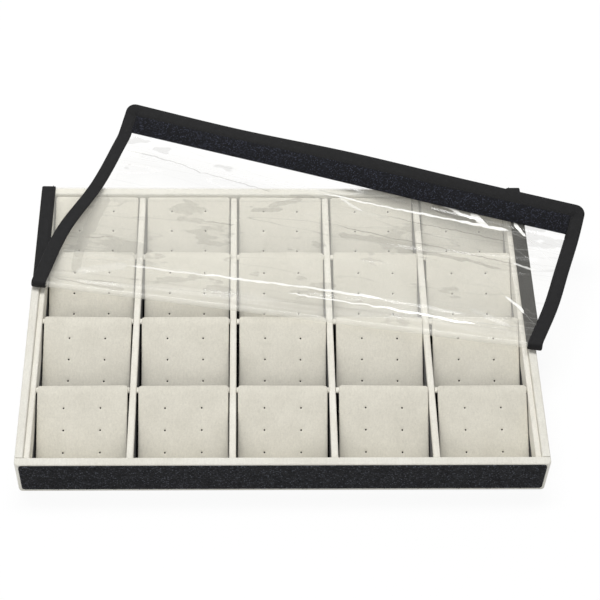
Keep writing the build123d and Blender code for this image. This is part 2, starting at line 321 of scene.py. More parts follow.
def suede_group():
    """Brushed patches and a fine nap, for everything wrapped in suede."""
    group, given, out = new_group(
        "suede_nap",
        {"Vector": VECTOR, "Tone": COLOUR, "Brushed Tone": COLOUR, "Patches": 45.0, "Nap": 900.0},
        {"Color": COLOUR, "Roughness": FLOAT, "Height": FLOAT},
    )
    vector = given["Vector"]
    patches = spread(group, noise_value(group, vector, given["Patches"], 3.0, 0.55), 0.34, 0.66)
    nap = noise_value(group, vector, given["Nap"], 5.0, 0.7)
    stroke = noise_value(group, stretched(group, vector, (1.0, 0.22, 1.0)), given["Nap"], 2.0, 0.5)
    tone = blend_colour(group, patches, given["Tone"], given["Brushed Tone"])
    grain = spread(group, plus(group, nap, times(group, stroke, 0.6)), 0.55, 1.1)
    shaded = blend_colour(group, times(group, grain, 0.16), tone, black)
    roughness = plus(group, times(group, nap, 0.12), 0.82)
    return finished(group, out, Color=shaded, Roughness=roughness, Height=plus(group, nap, stroke))


def weave_group():
    """A ribbed ribbon weave that follows the tape: U runs along it and V across it, in metres."""
    group, given, out = new_group(
        "ribbon_weave",
        {"Vector": VECTOR, "Tone": COLOUR, "Thread Tone": COLOUR, "Ribs": 1100.0, "Threads": 1500.0},
        {"Color": COLOUR, "Height": FLOAT},
    )
    parts = add(group, "ShaderNodeSeparateXYZ", {"Vector": given["Vector"]}).outputs
    rib_phase = times(group, parts["X"], given["Ribs"])
    thread_phase = times(group, parts["Y"], given["Threads"])
    offset = plus(group, thread_phase, times(group, maths(group, "FLOOR", rib_phase), 0.5))
    crossing = plus(group, times(group, hump(group, offset), 0.5), 0.5)
    height = times(group, hump(group, rib_phase), crossing)
    dust = noise_value(group, given["Vector"], 260.0, 4.0, 0.7)
    share = times(group, height, spread(group, dust, 0.3, 0.75))
    colour = blend_colour(group, share, given["Tone"], given["Thread Tone"])
    return finished(group, out, Color=colour, Height=height)


def pile_group():
    """Fastening tape: a dark ground with paler fibre ends."""
    group, given, out = new_group(
        "pile_speckle",
        {"Vector": VECTOR, "Ground": COLOUR, "Fibre": COLOUR, "Fibres": 900.0},
        {"Color": COLOUR, "Height": FLOAT},
    )
    cells = add(group, "ShaderNodeTexVoronoi", {"Vector": given["Vector"], "Scale": given["Fibres"]})
    tips = spread(group, cells.outputs["Distance"], 0.6, 0.1)
    chance = add(group, "ShaderNodeSeparateXYZ", {"Vector": cells.outputs["Color"]}).outputs["X"]
    share = times(group, tips, spread(group, chance, 0.45, 1.0))
    colour = blend_colour(group, share, given["Ground"], given["Fibre"])
    return finished(group, out, Color=colour, Height=tips)


def crease_group():
    """Long thin lines along X, fading in and out, for creases in a clear sheet, along which the film paints
    highlights and dark reflections.
    """
    group, given, out = new_group(
        "sheet_creases",
        {"Vector": VECTOR, "Along": 5.0, "Across": 60.0, "Width": 0.02, "Seed": 0.0},
        {"Line": FLOAT, "Height": FLOAT},
    )
    inputs = {"X": given["Along"], "Y": given["Across"], "Z": given["Across"]}
    scale = add(group, "ShaderNodeCombineXYZ", inputs).outputs[0]
    offset = add(group, "ShaderNodeCombineXYZ", {"Z": given["Seed"]}).outputs[0]
    moved = vector_maths(group, "ADD", vector_maths(group, "MULTIPLY", given["Vector"], scale), offset)
    height = noise_value(group, moved, 1.0, 2.0, 0.5)
    off_line = maths(group, "ABSOLUTE", maths(group, "SUBTRACT", height, 0.5))
    line = spread(group, off_line, given["Width"], 0.0)
    fade = spread(group, noise_value(group, moved, 0.37, 1.0, 0.5), 0.48, 0.62)
    return finished(group, out, Line=times(group, line, fade), Height=height)


def streak_group():
    """A streak between two places, seen from above, thinning out at its ends."""
    group, given, out = new_group(
        "sheet_streak", {"Vector": VECTOR, "Start": VECTOR, "End": VECTOR, "Width": 0.001}, {"Line": FLOAT}
    )
    flat = vector_maths(group, "MULTIPLY", given["Vector"], (1.0, 1.0, 0.0))
    arm = vector_maths(group, "SUBTRACT", flat, given["Start"])
    run = vector_maths(group, "SUBTRACT", given["End"], given["Start"])
    travelled = vector_maths(group, "DOT_PRODUCT", arm, run, "Value")
    share = maths(group, "DIVIDE", travelled, vector_maths(group, "DOT_PRODUCT", run, run, "Value"))
    off = vector_maths(group, "DISTANCE", arm, scaled(group, run, share), "Value")
    thinned = times(group, spread(group, share, 0.0, 0.12), spread(group, share, 1.0, 0.88))
    half_width = times(group, times(group, thinned, given["Width"]), 0.5)
    line = spread(group, maths(group, "SUBTRACT", half_width, off), -0.1 * MM, 0.1 * MM)
    return finished(group, out, Line=line)


suede_nap = suede_group()
ribbon_weave = weave_group()
pile_speckle = pile_group()
crease_lines = crease_group()
sheet_streak = streak_group()


def new_material(name, **plain):
    """A material with its Principled BSDF, whose plain sockets are set, and its coordinates."""
    material = bpy.data.materials.new(name)
    material.use_nodes = True
    tree = material.node_tree
    shader = tree.nodes["Principled BSDF"]
    for key, value in plain.items():
        shader.inputs[key.replace("_", " ")].default_value = value
    return material, tree, shader, tree.nodes.new("ShaderNodeTexCoord").outputs


def use_group(tree, group, **inputs):
    named = {key.replace("_", " "): value for key, value in inputs.items()}
    return add(tree, "ShaderNodeGroup", named, node_tree=group).outputs


def show(tree, shader, colour, height, distance, strength):
    """Gives the surface a colour, and a bump of that distance for a height."""
    bump = add(tree, "ShaderNodeBump", {"Height": height, "Distance": distance, "Strength": strength})
    tree.links.new(colour, shader.inputs["Base Color"])
    tree.links.new(bump.outputs["Normal"], shader.inputs["Normal"])


# The dark of the cells' floor lining; it also paints shade low on the sides of the dividers and liners
cell_dark = paint(24, 22, 22)


def suede_material(name, tone, brushed, patches=45.0, nap=900.0, sheen=0.15, painted_shade_below=None):
    """Brushed suede. Below a given height it is painted dark in the colour of the cells' floor lining, as
    shade in the gaps beside the pads.
    """
    material, tree, shader, places = new_material(
        name, Sheen_Weight=sheen, Sheen_Roughness=0.6, Specular_IOR_Level=0.2
    )
    vector = places["Object"]
    suede = use_group(
        tree, suede_nap, Vector=vector, Tone=tone, Brushed_Tone=brushed, Patches=patches, Nap=nap
    )
    colour = suede["Color"]
    if painted_shade_below is not None:
        # Painted shade: below the height the suede takes the lining's dark colour, along an edge that
        # wanders a little
        parts = add(tree, "ShaderNodeSeparateXYZ", {"Vector": vector}).outputs
        height = plus(tree, parts["Z"], times(tree, noise_value(tree, vector, 160.0), 0.5 * MM))
        wrapped = spread(tree, height, painted_shade_below, painted_shade_below + 0.3 * MM)
        colour = blend_colour(tree, wrapped, cell_dark, colour)
    tree.links.new(suede["Roughness"], shader.inputs["Roughness"])
    show(tree, shader, colour, suede["Height"], 0.12 * MM, 0.6)
    return material


def tape_material(name, tone, thread_tone, coordinates="UV", ribs=1100.0, threads=1500.0):
    material, tree, shader, places = new_material(
        name, Roughness=0.72, Sheen_Weight=0.04, Specular_IOR_Level=0.3
    )
    vector = places[coordinates]
    weave = use_group(
        tree, ribbon_weave, Vector=vector, Tone=tone, Thread_Tone=thread_tone, Ribs=ribs, Threads=threads
    )
    show(tree, shader, weave["Color"], weave["Height"], 0.15 * MM, 0.8)
    return material


def pile_material(name, ground, fibre, fibres=900.0):
    material, tree, shader, places = new_material(
        name, Roughness=0.85, Sheen_Weight=0.03, Specular_IOR_Level=0.3
    )
    pile = use_group(
        tree, pile_speckle, Vector=places["Object"], Ground=ground, Fibre=fibre, Fibres=fibres
    )
    show(tree, shader, pile["Color"], pile["Height"], 0.3 * MM, 0.8)
    return material


# Painted highlights in the folded-back half of the sheet, seen from above, in mm: both ends, width and
# opacity
highlight_streaks = (
    (-108, 41, -54, 33, 1.6, 0.25), (-59, 34, 13, 22, 1.6, 0.45), (6, 23, 72, 10, 1.9, 0.45),
    (66, 11, 128, -2, 2.4, 0.10), (3, 16, 72, 3, 1.1, 0.40), (66, 5, 134, -11, 1.4, 0.50),
    (31, 111, 88, 95, 1.2, 0.50), (81, 97, 138, 82, 1.6, 0.60), (128, 85, 165, 75, 2.6, 0.65),
    (139, 92, 151, 78, 3.6, 0.50), (107, 105, 144, 85, 1.8, 0.50), (157, 15, 168, -1, 2.0, 0.50),
    (169, 81, 177, 69, 2.2, 0.60), (130, 2, 159, -13, 3.4, 0.06), (43, 107, 60, 93, 2.2, 0.20),
    (165, 45, 180, 38, 1.4, 0.35), (-145, 36, -108, 41, 6.0, 0.06),
)
# Painted dark reflections in the same half, given the same way: both ends, width and opacity
dark_reflection_streaks = (
    (-114, 155, -80, 143, 1.0, 0.16), (-84, 145, -56, 130, 0.9, 0.16), (-60, 132, -6, 112, 0.8, 0.16),
    (73, 90, 167, 63, 0.8, 0.22), (36, 80, 168, 43, 0.9, 0.22), (41, 70, 66, 67, 4.4, 0.12),
    (59, 69, 98, 57, 5.4, 0.12), (88, 59, 133, 46, 3.0, 0.14), (125, 50, 157, 38, 2.6, 0.14),
    (-22, 93, 3, 95, 3.8, 0.12), (-9, 97, 18, 106, 4.6, 0.10), (-56, 83, -33, 80, 1.4, 0.16),
    (-141, 68, -118, 68, 1.0, 0.18), (109, 99, 145, 81, 5.4, 0.26), (-126, 109, -139, 70, 9.0, 0.08),
    (-140, 76, -145, 34, 7.5, 0.08), (-161, 31, -113, 19, 1.6, 0.12),
)
streak_wander = 5 * MM

# How much the sheet hides, from 0 to 1. Its veil paints the sheet's broad reflection of the lamps as a pale
# colour, and is thinner where the sheet is folded back
sheen_veil_opacity = 0.11
sheen_veil_loss_folded = 0.07
cloud_opacity = 0.02
highlight_crease_opacity = 0.15
dark_reflection_crease_opacity = 0.12
smudge_opacity = 0.085
# The share of its shadow that is left out, as it is too clear to shade what lies under it
shadow_loss = 0.9


def streak_mask(tree, vector, streaks):
    """The strongest of the streaks at each place."""
    total = 0.0
    for start_x, start_y, end_x, end_y, width, opacity in streaks:
        start, end = (start_x * MM, start_y * MM, 0.0), (end_x * MM, end_y * MM, 0.0)
        streak = use_group(tree, sheet_streak, Vector=vector, Start=start, End=end, Width=width * MM)
        total = strongest(tree, total, times(tree, streak["Line"], opacity))
    return total


def film_material():
    """Clear sheet with a veil that paints its broad reflection of the lamps; folded back it also has
    smudges, pale streaks that paint highlights and grey crease lines that paint dark reflections.
    """
    material, tree, shader, places = new_material("clear_film", Roughness=0.12, IOR=1.7)
    here = places["Object"]
    folded = add(tree, "ShaderNodeAttribute", attribute_name="folded_back").outputs["Fac"]
    # Coordinates along the fold and back from it
    skew = math.atan2(-fold_along[1], fold_along[0])
    turned = Matrix.Rotation(skew, 3, "Z") @ Vector(fold_pivot)
    inputs = {"Vector": here, "Rotation": (0.0, 0.0, skew), "Location": -turned}
    vector = add(tree, "ShaderNodeMapping", inputs).outputs[0]
    clouds = spread(tree, noise_value(tree, vector, 16.0, 2.0, 0.5), 0.38, 0.68)
    patches = stretched(tree, vector, (0.45, 1.0, 1.0))
    smudge = spread(tree, noise_value(tree, patches, 44.0, 3.0, 0.6), 0.58, 0.60)
    # Crease lines: along the first the film paints highlights, along the second dark reflections
    pale = use_group(tree, crease_lines, Vector=vector, Along=5.0, Across=34.0, Width=0.014, Seed=3.0)
    grey = use_group(tree, crease_lines, Vector=vector, Along=7.0, Across=60.0, Width=0.010, Seed=11.0)
    # The streaks' edges wander a little
    inputs = {"Vector": here, "Scale": 70.0, "Detail": 4.0, "Roughness": 0.6}
    ragged = add(tree, "ShaderNodeTexNoise", inputs).outputs["Color"]
    shift = scaled(tree, vector_maths(tree, "SUBTRACT", ragged, (0.5, 0.5, 0.5)), streak_wander)
    wandered = vector_maths(tree, "ADD", here, shift)
    highlight_share = strongest(
        tree, streak_mask(tree, wandered, highlight_streaks), times(tree, pale["Line"], highlight_crease_opacity)
    )
    # Painted dark reflections, and the smudges
    dark_reflection_and_smudge_share = strongest(
        tree, streak_mask(tree, wandered, dark_reflection_streaks), times(tree, grey["Line"], dark_reflection_crease_opacity)
    )
    dark_reflection_and_smudge_share = strongest(tree, dark_reflection_and_smudge_share, times(tree, smudge, smudge_opacity))
    highlight_share = times(tree, highlight_share, folded)
    dark_reflection_and_smudge_share = times(tree, dark_reflection_and_smudge_share, folded)
    # The veil is the painted reflection of the lamps, a little cloudy
    veil = plus(tree, times(tree, clouds, cloud_opacity), sheen_veil_opacity)
    veil = maths(tree, "SUBTRACT", veil, times(tree, folded, sheen_veil_loss_folded))
    alpha = plus(tree, veil, plus(tree, highlight_share, dark_reflection_and_smudge_share))
    path = tree.nodes.new("ShaderNodeLightPath").outputs
    lit = maths(tree, "SUBTRACT", 1.0, times(tree, path["Is Shadow Ray"], shadow_loss))
    tree.links.new(times(tree, alpha, lit), shader.inputs["Alpha"])
    dark_reflection_and_smudge_part = maths(tree, "DIVIDE", dark_reflection_and_smudge_share, alpha)
    # Colours: a pale tone for the veil's painted reflection, grey for the painted dark reflections and
    # smudges, white for the painted highlights
    tinted = blend_colour(tree, dark_reflection_and_smudge_part, paint(250, 248, 238), paint(96, 94, 86))
    colour = blend_colour(tree, maths(tree, "DIVIDE", highlight_share, alpha), tinted, paint(255, 255, 252))
    show(tree, shader, colour, pale["Height"], 1.0 * MM, 0.2)
    return material


# Finishes
grid_tones = (paint(234, 231, 221), paint(225, 221, 209))
tape_tones = (paint(12, 12, 13), paint(33, 33, 35))
# Heights below which the dividers' and liners' sides are painted dark, as shade in the gaps beside the pads
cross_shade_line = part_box("cross_divider_1")[1].z - 1.2 * MM
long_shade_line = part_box("long_divider_1")[1].z - 3 * MM
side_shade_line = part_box("floor_lining")[1].z + 13 * MM
card_suede = suede_material("card_suede", paint(221, 217, 204), paint(214, 210, 197), patches=55.0)
board_suede = suede_material("board_suede", paint(230, 228, 219), paint(221, 218, 207), patches=30.0)
cross_suede = suede_material("cross_suede", *grid_tones, painted_shade_below=cross_shade_line)
long_suede = suede_material("long_suede", *grid_tones, painted_shade_below=long_shade_line)
side_suede = suede_material("side_suede", *grid_tones, painted_shade_below=side_shade_line)
cell_lining = suede_material("cell_lining", cell_dark, paint(34, 31, 31), patches=120.0, sheen=0.0)
under_felt = suede_material(
    "under_felt", paint(62, 61, 62), paint(50, 49, 50), patches=90.0, nap=600.0, sheen=0.2
)
# The holes' walls and floors are painted dark brown, as the shade inside the small holes
pierced = suede_material("pierced_hole", paint(24, 19, 16), paint(16, 13, 11), patches=200.0, sheen=0.0)
loop_pile = pile_material("loop_pile", paint(10, 11, 15), paint(92, 96, 106))
hook_pile = pile_material("hook_pile", paint(10, 11, 17), paint(80, 84, 102), fibres=1300.0)
pile_fibre = pile_material("pile_fibre", paint(12, 14, 19), paint(90, 94, 108), fibres=1100.0)
woven_tape = tape_material("woven_tape", *tape_tones)
hem_tape = tape_material("hem_tape", *tape_tones, coordinates="Object")
thread = tape_material(
    "thread", paint(14, 14, 15), paint(44, 44, 46), coordinates="Object", ribs=2500.0, threads=2500.0
)
clear_film = film_material()


def dress(material, *nodes):
    """The material goes on CAD nodes whose shape is right as it is."""
    for node in nodes:
        data = frame["nodes"][node].data
        data.materials.clear()
        data.materials.append(material)


dress(board_suede, "base_board", "front_wall", "rear_wall", "left_wall", "right_wall")
dress(side_suede, "left_liner", "right_liner")
dress(long_suede, *(f"long_divider_{number}" for number in range(1, 5)))
dress(cross_suede, *(f"cross_divider_{number}" for number in range(1, 4)))
dress(cell_lining, "floor_lining")
dress(under_felt, "underside_fabric")
dress(loop_pile, "front_loop_strip")
dress(hem_tape, "rear_hem_tape")


def add_object(name, data):
    thing = bpy.data.objects.new(name, data)
    bpy.context.scene.collection.objects.link(thing)
    return thing


sharp_angle = math.radians(65)


def new_piece(name, mesh, materials):
    """An object for a finished mesh, smooth, with its materials."""
    piece = add_object(name, mesh)
    for material in materials:
        mesh.materials.append(material)
    mesh.shade_smooth()
    mesh.set_sharp_from_angle(angle=sharp_angle)
    return piece


def mesh_of(name, points, faces, material_of=None):
    """A mesh, and the number of each face's material where it has more than one."""
    mesh = bpy.data.meshes.new(name)
    mesh.from_pydata([tuple(p) for p in points], [], faces)
    if material_of is not None:
        mesh.polygons.foreach_set("material_index", material_of)
    mesh.validate()
    return mesh


def face_outwards(mesh):
    work = bmesh.new()
    work.from_mesh(mesh)
    bmesh.ops.recalc_face_normals(work, faces=work.faces)
    work.to_mesh(mesh)
    work.free()


# Pads: foam cards wrapped in suede, each pierced by six holes
pad_thickness = 3.0 * MM
pad_edge_radius = 1.0 * MM
pad_corner_radius = 2.0 * MM
pad_crown = 0.35 * MM
pad_crown_reach = 5.0 * MM
pad_waver = 0.10 * MM
pad_waver_pitch = 60
pad_waver_ease = 2.0 * MM
# Rings round the underside's rounded edge: how far out, and how high
pad_lower_rings = ((1.0, 0.9 * MM), (0.75, 0.2 * MM), (0.3, 0.0))
hole_radius = 0.6 * MM
hole_floor = 0.3 * MM
hole_steps = 12
hole_dimple = 0.35 * MM
hole_dimple_reach = 1.5 * MM
hole_spacing = 24.5 * MM
hole_climb = 15.0 * MM
crest_softness = 1.2 * MM
pad_grid = 1.6 * MM
pad_grid_margin = 1.4 * MM
# Rings of points round each hole, and how far from it the grid of points ends
hole_ring_radii = (1.6 * hole_radius, 2.4 * hole_radius)
hole_clear_radius = 2.9 * hole_radius


def rounded_outline(half_width, half_length, radius, corner_steps=5, spacing=3.0 * MM):
    """Points round a rectangle with rounded corners, counter-clockwise from its lower right."""
    arcs = []
    for right, up, start in ((1, -1, -90), (1, 1, 0), (-1, 1, 90), (-1, -1, 180)):
        centre = Vector((right * (half_width - radius), up * (half_length - radius)))
        turns = [math.radians(start + 90 * step / corner_steps) for step in range(corner_steps + 1)]
        arcs.append([centre + radius * Vector((math.cos(turn), math.sin(turn))) for turn in turns])
    points = []
    for arc, following in zip(arcs, arcs[1:] + arcs[:1]):
        gaps = max(2, round((following[0] - arc[-1]).length / spacing))
        points += arc + [arc[-1].lerp(following[0], k / gaps) for k in range(1, gaps)]
    return points


def hole_places(shift):
    rises = (-1, 0, 1)
    return [(side * hole_spacing / 2, shift + rise * hole_climb) for side in (-1, 1) for rise in rises]


def circle_points(x, y, radius, offset=0.0):
    turns = [2 * math.pi * (step + offset) / hole_steps for step in range(hole_steps)]
    return [Vector((x + radius * math.cos(turn), y + radius * math.sin(turn))) for turn in turns]


def pad_shape(width, length, places):
    """A pad's top in its own plane: outlines, rings round the holes, points and triangles."""
    outline = rounded_outline(width / 2, length / 2, pad_corner_radius)
    flat_share = 1 - pad_edge_radius / (width / 2), 1 - pad_edge_radius / (length / 2)
    inner = [Vector((p.x * flat_share[0], p.y * flat_share[1])) for p in outline]
    flat = list(inner)
    edges = [(k, (k + 1) % len(inner)) for k in range(len(inner))]
    holes = []
    for x, y in places:
        ring = list(range(len(flat), len(flat) + hole_steps))
        flat += circle_points(x, y, hole_radius)
        edges += list(zip(ring, ring[1:] + ring[:1]))
        holes.append(ring)
        for radius in hole_ring_radii:
            flat += circle_points(x, y, radius, 0.5)
    across, along = int(width / pad_grid), int(length / pad_grid)
    for i in range(1, across):
        for j in range(1, along):
            x = (i / across - 0.5) * width * flat_share[0]
            y = (j / along - 0.5) * length * flat_share[1]
            far = all(math.dist((x, y), place) > hole_clear_radius for place in places)
            inside = abs(x) < width / 2 - pad_grid_margin and abs(y) < length / 2 - pad_grid_margin
            if far and inside:
                flat.append(Vector((x, y)))
    made = delaunay_2d_cdt(flat, edges, [], 0, 1e-7)
    flat_points, triangles = made[0], made[2]
    keep = []
    for triangle in triangles:
        middle = sum((flat_points[k] for k in triangle), Vector((0, 0))) / 3
        if all(math.dist(middle, place) >= hole_radius * 0.97 for place in places):
            keep.append(tuple(triangle))
    return outline, inner, holes, flat_points, keep


def level_crest(point, height, crest):
    """Rounds a pad's upper end level at its crest, most at its top face."""
    room = crest - point.z
    eased = crest - 0.5 * (room + math.sqrt(room * room + crest_softness ** 2))
    share = min(1.0, max(0.0, height / pad_thickness)) ** 2
    return Vector((point.x, point.y, point.z + (eased - point.z) * share))


def pad_mesh(name, width, length, shift, seed, place, crest):
    """One pad: crowned top, rounded edges, dimples and pierced holes."""
    places = hole_places(shift)
    outline, inner, holes, flat, triangles = pad_shape(width, length, places)
    points, faces = [], list(triangles)
    drift = Vector((seed * 7.3, seed * 3.1, 0.0))
    for p in flat:
        edge = min(width / 2 - abs(p.x), length / 2 - abs(p.y))
        crown = pad_crown * (1 - math.exp(-edge / pad_crown_reach))
        waver = pad_waver * noise.noise(Vector((p.x, p.y, 0)) * pad_waver_pitch + drift)
        dimple = 0.0
        for centre in places:
            far = math.dist(p, centre) - hole_radius
            if far < hole_dimple_reach:
                dimple = max(dimple, hole_dimple * (1 - far / hole_dimple_reach) ** 2)
        share = min(1.0, max(0.0, (edge - pad_edge_radius) / pad_waver_ease))
        points.append(Vector((p.x, p.y, pad_thickness - pad_crown + crown + waver * share - dimple)))
    count = len(inner)
    ring = list(range(count))
    top = pad_thickness - pad_crown * math.exp(-pad_edge_radius / pad_crown_reach)
    levels = []
    for step in range(1, 5):
        angle = math.radians(90 * step / 4)
        levels.append((math.sin(angle), top - pad_edge_radius * (1 - math.cos(angle))))
    for out, height in (*levels, *pad_lower_rings):
        start = len(points)
        for near, far in zip(inner, outline):
            p = near.lerp(far, out)
            points.append(Vector((p.x, p.y, height)))
        for k in range(count):
            faces.append((ring[k], start + k, start + (k + 1) % count, ring[(k + 1) % count]))
        ring = list(range(start, start + count))
    faces.append(tuple(ring))
    kinds = [0] * len(faces)
    # Hole walls and floors take the second material, painted dark as the shade inside the holes
    for hole in holes:
        start = len(points)
        for k in hole:
            points.append(Vector((flat[k].x, flat[k].y, hole_floor)))
        for k in range(hole_steps):
            after = (k + 1) % hole_steps
            faces.append((hole[k], hole[after], start + after, start + k))
        faces.append(tuple(range(start, start + hole_steps)))
        kinds += [1] * (hole_steps + 1)
    mesh = mesh_of(name, [level_crest(place @ p, p.z, crest) for p in points], faces, kinds)
    face_outwards(mesh)
    return mesh


flat_tolerance = 0.05 * MM
# A card's turn in its cell is looked for in steps to either side
turn_steps = 28
turn_steps_per_degree = 20


def card_seat(node):
    """A card's slope and underside, read off its solid: its normal and the underside's corners."""
    mesh = frame["nodes"][node].data
    areas = {}
    for face in mesh.polygons:
        key = tuple(round(value, 3) for value in face.normal)
        areas[key] = areas.get(key, 0.0) + face.area
    below = max((key for key in areas if key[2] < -0.5), key=areas.get)
    normal = -Vector(below).normalized()
    corners = np.array([vertex.co for vertex in mesh.vertices])
    heights = corners @ np.array(normal)
    return normal, corners[heights < heights.min() + flat_tolerance]


def card_place(node):
    """Where a card's underside lies: its middle, its directions, its width and its length."""
    normal, corners = card_seat(node)
    across = Vector((1, 0, 0))
    up_slope = normal.cross(across).normalized()
    best = None
    for step in range(-turn_steps, turn_steps + 1):
        turn = math.radians(step / turn_steps_per_degree)
        a = across * math.cos(turn) + up_slope * math.sin(turn)
        b = up_slope * math.cos(turn) - across * math.sin(turn)
        wide, tall = corners @ np.array(a), corners @ np.array(b)
        size = np.ptp(wide) + np.ptp(tall)
        if best is None or size < best[0]:
            best = (size, a, b, wide, tall)
    a, b, wide, tall = best[1:]
    level = float((corners @ np.array(normal)).min())
    middle = a * float(wide.max() + wide.min()) / 2 + b * float(tall.max() + tall.min()) / 2
    place = Matrix.Translation(middle + normal * level) @ Matrix((a, b, normal)).transposed().to_4x4()
    return place, float(np.ptp(wide)), float(np.ptp(tall))


def make_pads():
    full_length = card_place("card_r4c3")[2]
    for row in range(1, 5):
        for column in range(1, 6):
            node, name = f"card_r{row}c{column}", f"pad_r{row}c{column}"
            place, width, length = card_place(node)
            shift = (full_length - length) / 2
            mesh = pad_mesh(name, width, length, shift, row * 10 + column, place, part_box(node)[1].z)
            pad = new_piece(name, mesh, (card_suede, pierced))
            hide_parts(node)
            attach(pad, node)


make_pads()


# Cover sheet
def across_rows(x, row, rear=film_joint_rear_y):
    """Y of a row at x: 0 at the rear, 1 where the curl starts, 2 where it ends, 3 at the flap joint."""
    start, end = curl_start_y(x), curl_end_y(x)
    y = rear + (start - rear) * np.clip(row, 0, 1)
    y = y + (end - start) * np.clip(row - 1, 0, 1)
    return y + (flap_joint_y - end) * np.clip(row - 2, 0, 1)


def waves(x, y, stretch_x, stretch_y, seed):
    """Smooth noise, long along the fold."""
    along = (x * fold_along[0] + y * fold_along[1]) / stretch_x
    forward = (x * fold_forward[0] + y * fold_forward[1]) / stretch_y
    return np.array([noise.noise(Vector((a, f, seed))) for a, f in zip(along, forward)])


relief_side_ease = 22 * MM
relief_end_ease = 14 * MM
relief_fold_ease = 6 * MM
fold_without_relief = 1 * MM
most_relief = 2.4 * MM
curl_memory_depth = 1.3 * MM
curl_memory_place = 20 * MM
curl_memory_reach = 16 * MM


def film_relief(x, y):
    """How far the sheet stands above its plane in the closed cover: curl memory and wrinkles."""
    inner_left = sheet_left + tape_width
    inner_right = sheet_right - tape_width
    side = smooth((x - inner_left) / relief_side_ease) * smooth((inner_right - x) / relief_side_ease)
    front = smooth((y - flap_joint_y) / relief_end_ease)
    rear = smooth((film_joint_rear_y - y) / relief_end_ease)
    forward = (x - fold_pivot[0]) * fold_forward[0] + (y - fold_pivot[1]) * fold_forward[1]
    near_fold = np.exp(-((np.abs(forward) - curl_memory_place) / curl_memory_reach) ** 2)
    upper = smooth(forward / relief_fold_ease)
    off_fold = smooth((np.abs(forward) - fold_without_relief) / relief_fold_ease)
    broad = waves(x, y, 130 * MM, 26 * MM, 3.7)
    ridged = np.clip(1 - np.abs(waves(x, y, 150 * MM, 15 * MM, 9.1)) * 4, -1, 1)
    fine = waves(x, y, 60 * MM, 6 * MM, 5.2)
    lower_relief = 0.25 * MM * broad + 0.08 * MM * fine
    upper_relief = -curl_memory_depth * near_fold - 0.9 * MM * broad - 0.35 * MM * ridged + 0.18 * MM * fine
    relief = (1 - upper) * lower_relief + upper * upper_relief
    return np.clip(relief * side * front * rear * off_fold, -most_relief, most_relief)


def grid_starts(rows, columns):
    """The first corner of each face of a grid whose points run row by row."""
    return [r * columns + c for r in range(rows - 1) for c in range(columns - 1)]


def sheet_grid(name, xs, rows_y):
    """A thin closed sheet over a grid: rows_y gives each row's Y at the columns' X."""
    columns, rows = len(xs), len(rows_y)
    top, under = [], []
    for ys in rows_y:
        relief = film_relief(xs, ys)
        top.append(np.stack([xs, ys, relief + film_thickness / 2], axis=1))
        under.append(np.stack([xs, ys, relief - film_thickness / 2], axis=1))
    points = lay_on_cover(np.concatenate(top + under))
    layer = rows * columns
    faces = []
    for k in grid_starts(rows, columns):
        faces.append((k, k + columns, k + columns + 1, k + 1))
        faces.append((layer + k, layer + k + 1, layer + k + columns + 1, layer + k + columns))
    rim = list(range(columns)) + [columns * r + columns - 1 for r in range(1, rows)]
    rim += [layer - 1 - c for c in range(1, columns)]
    rim += [columns * (rows - 1 - r) for r in range(1, rows - 1)]
    for a, b in zip(rim, rim[1:] + rim[:1]):
        faces.append((a, b, layer + b, layer + a))
    mesh = mesh_of(name, points, faces)
    face_outwards(mesh)
    folded = np.concatenate([ys < curl_end_y(xs) for ys in rows_y] * 2).astype(float)
    mesh.attributes.new("folded_back", "FLOAT", "POINT").data.foreach_set("value", folded)
    return mesh


def steps_between(start, end, step):
    count = max(1, math.ceil(abs(end - start) / step))
    return [start + (end - start) * k / count for k in range(count + 1)]


def steps_through(start, *runs):
    """Places from the start through the end of each run, each with its own step."""
    places = [start]
    for end, step in runs:
        places += steps_between(start, end, step)[1:]
        start = end
    return places


# The cover's parts before, through and after its fold, and the names their CAD nodes start with
cad_of_part = {"lower": "cover_rear", "fold": "cover_curl", "upper": "cover_front"}
# Shares of the parts before and after the fold that belong to the fold's piece
fold_share_before = 0.12
fold_share_after = 0.08
fold_steps = 14


def cover_parts(step_before, step_after):
    """Rows of each part, as across_rows counts them."""
    before, after = 1 - fold_share_before, 2 + fold_share_after
    fold = steps_between(before, 1, step_before) + [1 + k for k in steps_between(0, 1, 1 / fold_steps)[1:]]
    return {
        "lower": steps_between(0, before, step_before),
        "fold": fold + steps_between(2, after, step_after)[1:],
        "upper": steps_between(after, 3, step_after),
    }


def blend_over_fold(piece):
    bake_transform(piece)


def blend_over_crease(piece):
    ends = lay_on_cover([(0, crease_y + crease_reach, 0), (0, crease_y - crease_reach, 0)])
    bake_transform(piece)


def carry_part(piece, part):
    """The fold's piece stays where it is placed; the other parts ride on one body each."""
    if part == "fold":
        blend_over_fold(piece)
    else:
        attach(piece, cad_of_part[part])


def film_piece(part, xs, rows, node):
    name = f"cover_film_{part}"
    film = new_piece(name, sheet_grid(name, xs, rows), (clear_film,))
    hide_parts(node)
    return film


film_step = 1.3 * MM


